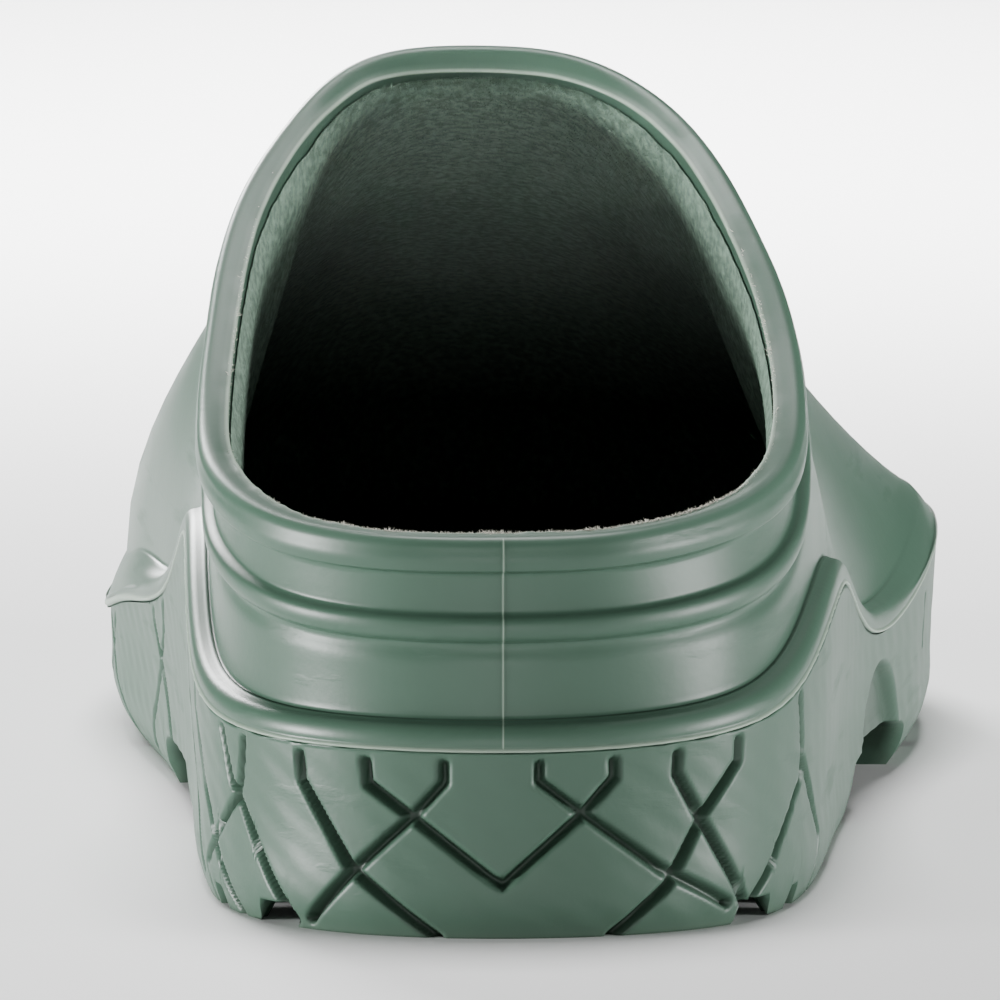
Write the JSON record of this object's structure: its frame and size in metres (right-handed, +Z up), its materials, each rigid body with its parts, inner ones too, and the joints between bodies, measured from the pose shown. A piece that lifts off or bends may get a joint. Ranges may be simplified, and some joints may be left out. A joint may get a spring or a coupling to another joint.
{
  "type": "rubber garden clog",
  "caption": "Slip-on moulded rubber garden clog with a low ribbed collar, a raised instep, a textile lining and a deep lattice-cut lugged sole.",
  "frame": {"origin": "centre of the overall footprint, on the ground plane the tread rests on", "axes": "+Y from the heel to the toe, +X towards the outer side of the foot, +Z up"},
  "size_m": [0.1172, 0.29, 0.1016],
  "materials": {
    "upper_rubber": "satin sage-green moulded rubber",
    "sole_rubber": "satin sage-green moulded rubber",
    "lining_textile": "brushed dark green textile",
    "core_foam": "foam rubber",
    "shank_steel": "plain steel strip",
    "board_fibre": "pressed fibre board",
    "seam_yarn": "overlocked polyester yarn",
    "bed_foam": "soft closed-cell foam",
    "bed_cloth": "dark brushed cloth"
  },
  "bodies": {
    "clog": {"upper_shell": "upper_rubber", "upper_lining": "lining_textile", "outsole": "sole_rubber", "heel_core": "core_foam", "shank": "shank_steel", "insole_board": "board_fibre", "seam_thread": "seam_yarn"},
    "footbed": {"footbed_foam": "bed_foam", "footbed_cover": "bed_cloth"}
  },
  "joints": [
    {"name": "footbed_lift", "type": "hinge", "parent": "clog", "child": "footbed", "pos_m": [-0.0026, 0.1345, 0.0146], "axis": [-1, 0, 0], "range_deg": [0, 4.2]}
  ]
}
